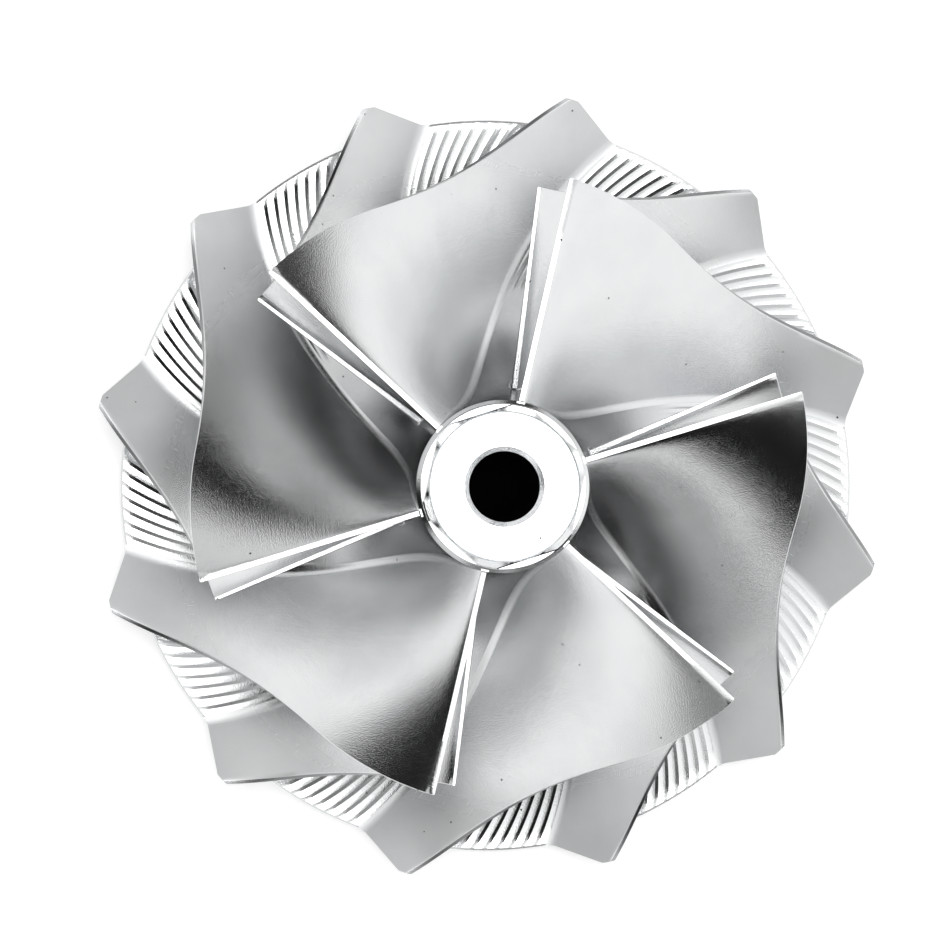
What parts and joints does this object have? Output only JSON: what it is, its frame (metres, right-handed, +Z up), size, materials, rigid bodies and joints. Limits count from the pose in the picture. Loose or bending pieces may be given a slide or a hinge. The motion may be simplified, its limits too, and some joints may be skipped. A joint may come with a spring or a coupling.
{
  "type": "compressor wheel",
  "caption": "Radial compressor wheel of a turbocharger: full blades and splitters on a bored hub draw air in at the nose and throw it outwards.",
  "frame": {"origin": "On the wheel's axis, in the plane of the back face's boss, on which it stands", "axes": "+Z up the axis from the back face to the nose; the first full blade's leading edge meets the shroud line on +X"},
  "size_m": [0.076, 0.076, 0.0355],
  "materials": {
    "milled_aluminium": "bright milled, with fine cutter lines on the disc between the blades"
  },
  "bodies": {
    "root": {"compressor_wheel": "milled_aluminium"}
  },
  "joints": []
}
